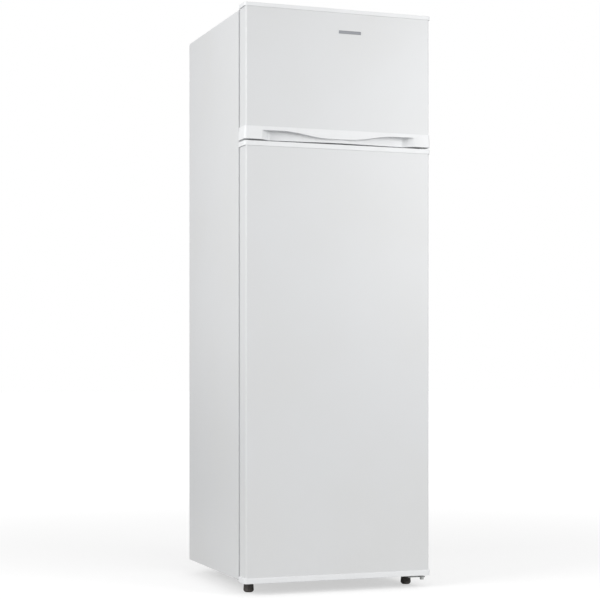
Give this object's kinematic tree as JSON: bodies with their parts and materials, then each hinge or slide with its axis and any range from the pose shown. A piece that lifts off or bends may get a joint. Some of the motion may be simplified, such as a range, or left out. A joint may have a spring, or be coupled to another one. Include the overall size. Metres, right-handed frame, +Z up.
{
  "type": "top freezer refrigerator",
  "caption": "White upright refrigerator with a smaller freezer door above a tall fridge door, a full-width recessed grip between them, and working hinges, crisper and feet.",
  "frame": {"origin": "on the floor, under the middle of the bounding box", "axes": "+X right, +Y to the back (the doors face -Y), +Z up"},
  "size_m": [0.548, 0.574, 1.61],
  "materials": {
    "enamel": "white baked enamel, fine orange peel",
    "cap_plastic": "white moulded plastic, fine grain",
    "liner_plastic": "white vacuum-formed liner",
    "strip_enamel": "white enamelled strip",
    "foam": "cream insulation foam",
    "gasket_rubber": "pale grey soft gasket",
    "zinc_steel": "galvanised sheet",
    "evaporator_metal": "rolled aluminium sheet",
    "black_enamel": "black enamelled steel",
    "black_plastic": "black moulded plastic",
    "black_rubber": "black rubber",
    "copper": "copper tube, a little tarnished",
    "drain_plastic": "grey plastic",
    "lens_plastic": "ribbed clear plastic",
    "bulb_glass": "frosted glass",
    "shelf_glass": "toughened glass, green edges",
    "wire_white": "white coated wire",
    "bin_plastic": "clear blue-tinted plastic",
    "foot_plastic": "dark brown plastic",
    "badge_metal": "satin metal badge"
  },
  "bodies": {
    "cabinet": {"cabinet_shell": "enamel", "back_panel": "zinc_steel", "base_panel": "zinc_steel", "compressor_tray": "zinc_steel", "roller_brackets": "zinc_steel", "cabinet_foam": "foam", "freezer_liner": "liner_plastic", "fridge_liner": "liner_plastic", "mullion_strip": "strip_enamel", "front_rail": "zinc_steel", "freezer_evaporator": "evaporator_metal", "fridge_evaporator": "evaporator_metal", "condenser": "black_enamel", "condenser_brackets": "zinc_steel", "compressor_housing": "black_enamel", "compressor_pump": "zinc_steel", "compressor_grommets": "black_rubber", "relay_cover": "black_plastic", "drip_tray": "black_plastic", "filter_drier": "copper", "refrigerant_pipes": "copper", "drain_tube": "drain_plastic", "cable_gland": "black_rubber", "thermostat_housing": "cap_plastic", "lamp_lens": "lens_plastic", "lamp_bulb": "bulb_glass", "freezer_shelf": "wire_white", "ice_tray": "bin_plastic", "glass_shelves": "shelf_glass", "shelf_trims": "cap_plastic", "crisper_cover": "shelf_glass", "top_hinge": "zinc_steel", "top_hinge_cover": "cap_plastic", "middle_hinge": "zinc_steel", "bottom_hinge": "zinc_steel", "flange_screws": "zinc_steel"},
    "freezer_door": {"freezer_door_skin": "enamel", "freezer_door_foam": "foam", "freezer_door_liner": "liner_plastic", "freezer_door_top_cap": "cap_plastic", "freezer_door_handle": "cap_plastic", "freezer_door_gasket": "gasket_rubber", "freezer_door_racks": "bin_plastic"},
    "fridge_door": {"fridge_door_skin": "enamel", "fridge_door_foam": "foam", "fridge_door_liner": "liner_plastic", "fridge_door_top_cap": "cap_plastic", "fridge_door_bottom_cap": "cap_plastic", "fridge_door_gasket": "gasket_rubber", "fridge_door_racks": "bin_plastic", "bottle_rack": "bin_plastic", "egg_tray": "bin_plastic"},
    "crisper": {"crisper_drawer": "bin_plastic"},
    "switch": {"switch_button": "cap_plastic"},
    "knob": {"thermostat_knob": "cap_plastic"},
    "foot_left": {"foot_left_pad": "foot_plastic"},
    "foot_left_stem": {"foot_left_screw": "zinc_steel"},
    "foot_right": {"foot_right_pad": "foot_plastic"},
    "foot_right_stem": {"foot_right_screw": "zinc_steel"},
    "rear_roller_left": {"roller_left": "foot_plastic"},
    "rear_roller_right": {"roller_right": "foot_plastic"}
  },
  "joints": [
    {"name": "freezer_door_hinge", "type": "hinge", "parent": "cabinet", "child": "freezer_door", "pos_m": [0.258, -0.263, 1.4], "axis": [0, 0, 1], "range_deg": [0, 130]},
    {"name": "fridge_door_hinge", "type": "hinge", "parent": "cabinet", "child": "fridge_door", "pos_m": [0.258, -0.263, 0.6], "axis": [0, 0, 1], "range_deg": [0, 130]},
    {"name": "crisper_slide", "type": "slide", "parent": "cabinet", "child": "crisper", "axis": [0, -1, 0], "range_m": [0, 0.228]},
    {"name": "lamp_switch", "type": "slide", "parent": "cabinet", "child": "switch", "axis": [0, -1, 0], "range_m": [0, 0.006]},
    {"name": "thermostat_turn", "type": "hinge", "parent": "cabinet", "child": "knob", "pos_m": [-0.045, -0.2, 1.1825], "axis": [0, -1, 0], "range_deg": [0, 300]},
    {"name": "foot_left_height", "type": "slide", "parent": "cabinet", "child": "foot_left", "axis": [0, 0, -1], "range_m": [0, 0.015]},
    {"name": "foot_left_turn", "type": "hinge", "parent": "foot_left", "child": "foot_left_stem", "pos_m": [-0.235, -0.203, 0.02], "axis": [0, 0, -1], "range_deg": [0, 4330]},
    {"name": "rear_roller_left_spin", "type": "hinge", "parent": "cabinet", "child": "rear_roller_left", "pos_m": [-0.18, 0.218, 0.018], "axis": [1, 0, 0], "continuous": true},
    {"name": "foot_right_height", "type": "slide", "parent": "cabinet", "child": "foot_right", "axis": [0, 0, -1], "range_m": [0, 0.015]},
    {"name": "foot_right_turn", "type": "hinge", "parent": "foot_right", "child": "foot_right_stem", "pos_m": [0.235, -0.203, 0.02], "axis": [0, 0, -1], "range_deg": [0, 4330]},
    {"name": "rear_roller_right_spin", "type": "hinge", "parent": "cabinet", "child": "rear_roller_right", "pos_m": [0.18, 0.218, 0.018], "axis": [1, 0, 0], "continuous": true}
  ],
  "couplings": [
    {"joint": "crisper_slide", "follows": "fridge_door_hinge", "m_per_rad": 0.1},
    {"joint": "lamp_switch", "follows": "fridge_door_hinge", "m_per_rad": 0.0026},
    {"joint": "foot_left_turn", "follows": "foot_left_height", "rad_per_m": 5026.5},
    {"joint": "foot_right_turn", "follows": "foot_right_height", "rad_per_m": 5026.5}
  ]
}
